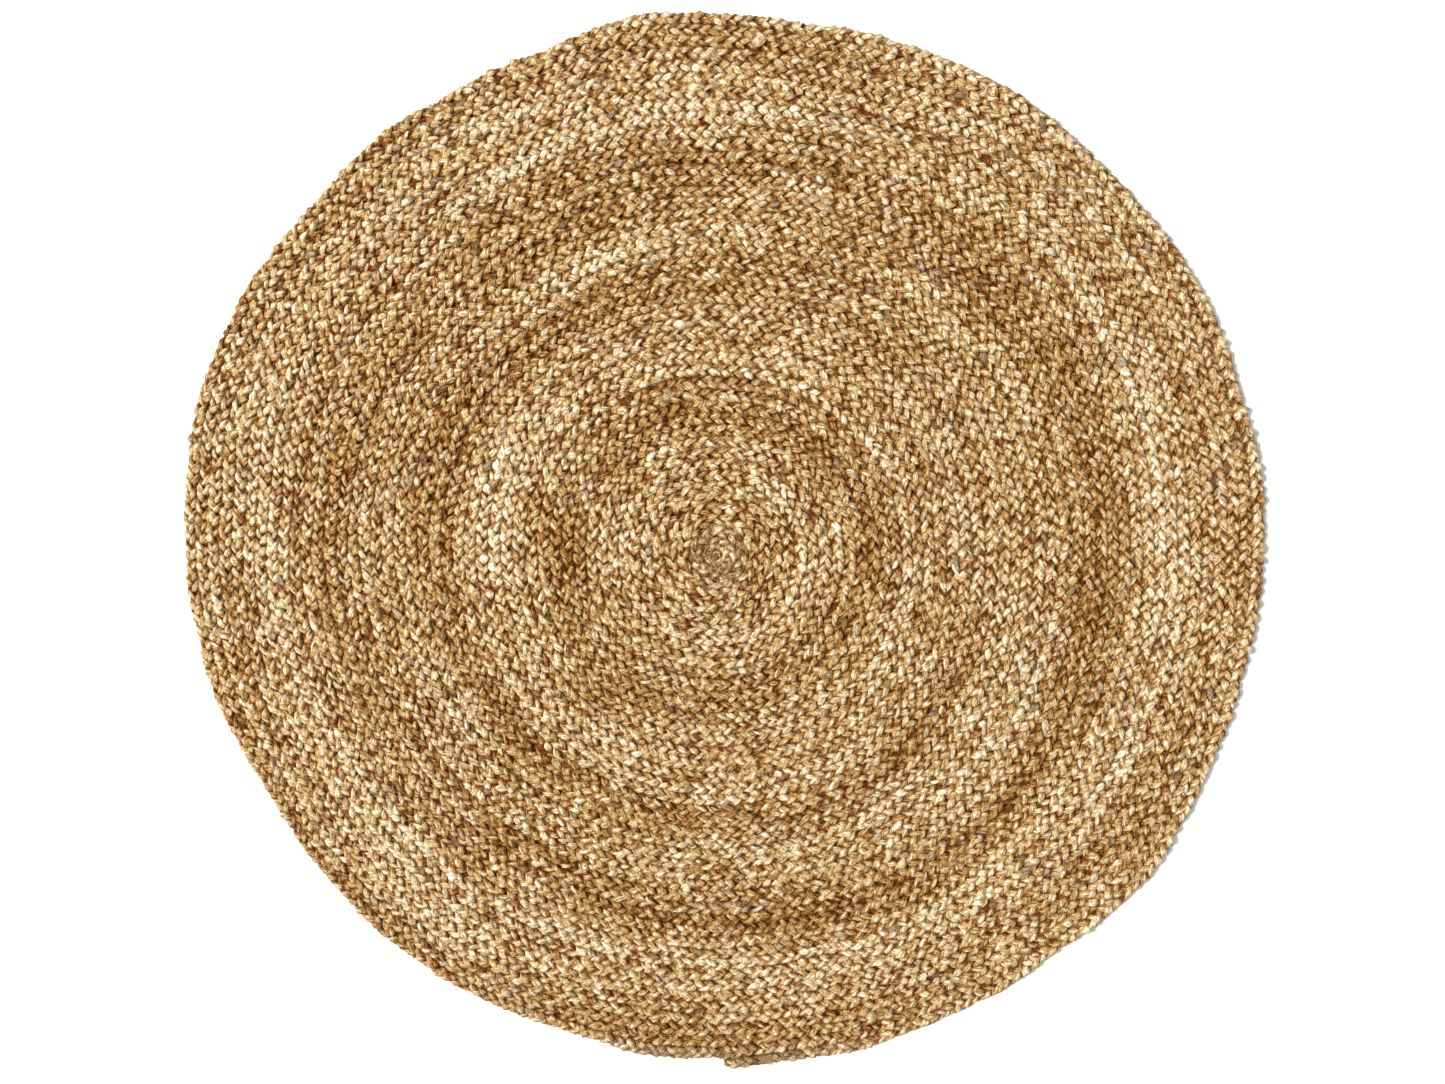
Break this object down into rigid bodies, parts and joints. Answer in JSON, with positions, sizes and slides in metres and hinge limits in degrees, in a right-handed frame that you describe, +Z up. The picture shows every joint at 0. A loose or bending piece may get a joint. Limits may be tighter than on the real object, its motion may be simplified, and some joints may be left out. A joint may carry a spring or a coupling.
{
  "type": "area rug",
  "caption": "Round braided jute floor rug: one flat three-strand braid wound in a spiral and laced edge to edge, with a whipped tail at the rim.",
  "frame": {"origin": "middle of the coil, on the floor side", "axes": "+Z up from the floor through the braid; +X along the rug, 4 degrees from its slightly longer axis; the tail ends at the rim near -Y"},
  "size_m": [1.2179, 1.1875, 0.01],
  "materials": {
    "jute_honey": "raw jute, mid honey hank, glossy on the strand crowns",
    "jute_straw": "raw jute, light straw hank, glossy on the strand crowns",
    "jute_amber": "raw jute, darker amber hank, glossy on the strand crowns",
    "jute_tail": "raw jute, thinned and frayed, dull",
    "lacing_twine": "twisted jute twine, matt"
  },
  "bodies": {
    "root": {"curled_start": "jute_honey", "round_01": "jute_honey", "round_02": "jute_honey", "round_03": "jute_honey", "round_04": "jute_honey", "round_05": "jute_honey", "round_06": "jute_honey", "round_07": "jute_straw", "round_08": "jute_straw", "round_09": "jute_straw", "round_10": "jute_amber", "round_11": "jute_amber", "round_12": "jute_amber", "round_13": "jute_amber", "round_14": "jute_amber", "round_15": "jute_straw", "round_16": "jute_straw", "round_17": "jute_straw", "round_18": "jute_straw", "round_19": "jute_straw", "round_20": "jute_straw", "round_21": "jute_straw", "round_22": "jute_amber", "round_23": "jute_amber", "round_24": "jute_amber", "round_25": "jute_honey", "round_26": "jute_honey", "round_27": "jute_honey", "round_28": "jute_honey", "round_29": "jute_honey", "round_30": "jute_amber", "round_31": "jute_amber", "round_32": "jute_amber", "round_33": "jute_amber", "round_34": "jute_straw", "round_35": "jute_straw", "round_36": "jute_straw", "round_37": "jute_straw", "round_38": "jute_straw", "round_39": "jute_straw", "round_40": "jute_straw", "round_41": "jute_straw", "round_42": "jute_straw", "round_43": "jute_straw", "round_44": "jute_straw", "lacing_twine": "lacing_twine", "tail": "jute_tail", "tail_whipping": "lacing_twine"}
  },
  "joints": []
}
